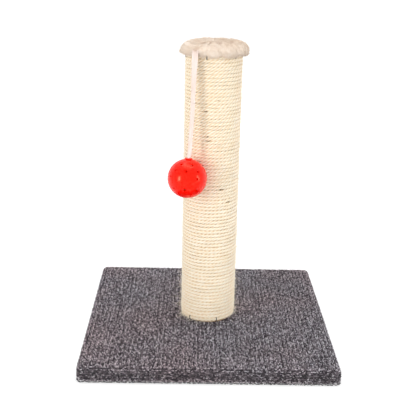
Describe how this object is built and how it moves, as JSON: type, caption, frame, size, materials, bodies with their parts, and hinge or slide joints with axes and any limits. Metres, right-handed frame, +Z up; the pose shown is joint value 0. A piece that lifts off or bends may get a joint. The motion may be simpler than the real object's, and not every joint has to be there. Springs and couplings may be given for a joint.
{
  "type": "cat scratching post",
  "caption": "Cat scratching post: a square carpeted base, an upright post wound with rope, a soft plush cap and a plastic ball hanging on an elastic strap.",
  "frame": {"origin": "centre of the base's underside, on the floor", "axes": "+Z up along the post, -Y the front of the picture, +X to its right"},
  "size_m": [0.3, 0.3, 0.3669],
  "materials": {
    "board": "raw particle board",
    "carpet": "speckled grey loop pile",
    "staple_steel": "bright wire",
    "dark_staple": "darkened wire",
    "zinc_steel": "zinc plated",
    "plug_wood": "sawn softwood",
    "tube_card": "spiral wound card",
    "sisal": "pale twisted sisal rope",
    "foam": "open-cell foam",
    "plush": "short soft plush",
    "elastic": "woven elastic band",
    "red_plastic": "satin red plastic",
    "bell_metal": "bright stamped metal"
  },
  "bodies": {
    "root": {"base_board": "board", "carpet_cover": "carpet", "carpet_staples": "staple_steel", "post_bolt": "zinc_steel", "bolt_washer": "zinc_steel", "threaded_insert": "zinc_steel", "bottom_plug": "plug_wood", "bottom_plug_staples": "staple_steel", "post_tube": "tube_card", "top_plug": "plug_wood", "top_plug_staples": "staple_steel", "sisal_rope_bottom": "sisal", "sisal_rope_lower": "sisal", "sisal_rope_upper": "sisal", "sisal_rope_top": "sisal", "rope_staples_bottom": "dark_staple", "rope_staples_top": "dark_staple", "cap_padding": "foam", "plush_cap": "plush", "strap_tab": "elastic", "strap_staple": "staple_steel"},
    "strap_top": {"strap_upper": "elastic"},
    "strap_band": {"strap_lower": "elastic"},
    "strap_end": {"strap_knot": "elastic"},
    "ball": {"ball_upper_half": "red_plastic", "ball_lower_half": "red_plastic", "jingle_bell": "bell_metal", "bell_pellet": "bell_metal"}
  },
  "joints": [
    {"name": "strap_swing_out", "type": "hinge", "parent": "root", "child": "strap_top", "pos_m": [-0.02095, -0.03629, 0.3589], "axis": [-0.866, 0.5, 0], "range_deg": [0, 95]},
    {"name": "strap_swing_side", "type": "hinge", "parent": "strap_top", "child": "strap_band", "pos_m": [-0.02149, -0.03721, 0.34896], "axis": [0.4971, 0.861, -0.1071], "range_deg": [-60, 60]},
    {"name": "strap_stretch", "type": "slide", "parent": "strap_band", "child": "strap_end", "axis": [-0.0536, -0.0928, -0.9942], "range_m": [0, 0.04], "stiffness_N_per_m": 25, "springref_m": -0.01, "deforming": ["strap_lower"]},
    {"name": "ball_spin", "type": "hinge", "parent": "strap_end", "child": "ball", "pos_m": [-0.02882, -0.04993, 0.21275], "axis": [0.0536, 0.0928, 0.9942], "continuous": true}
  ]
}
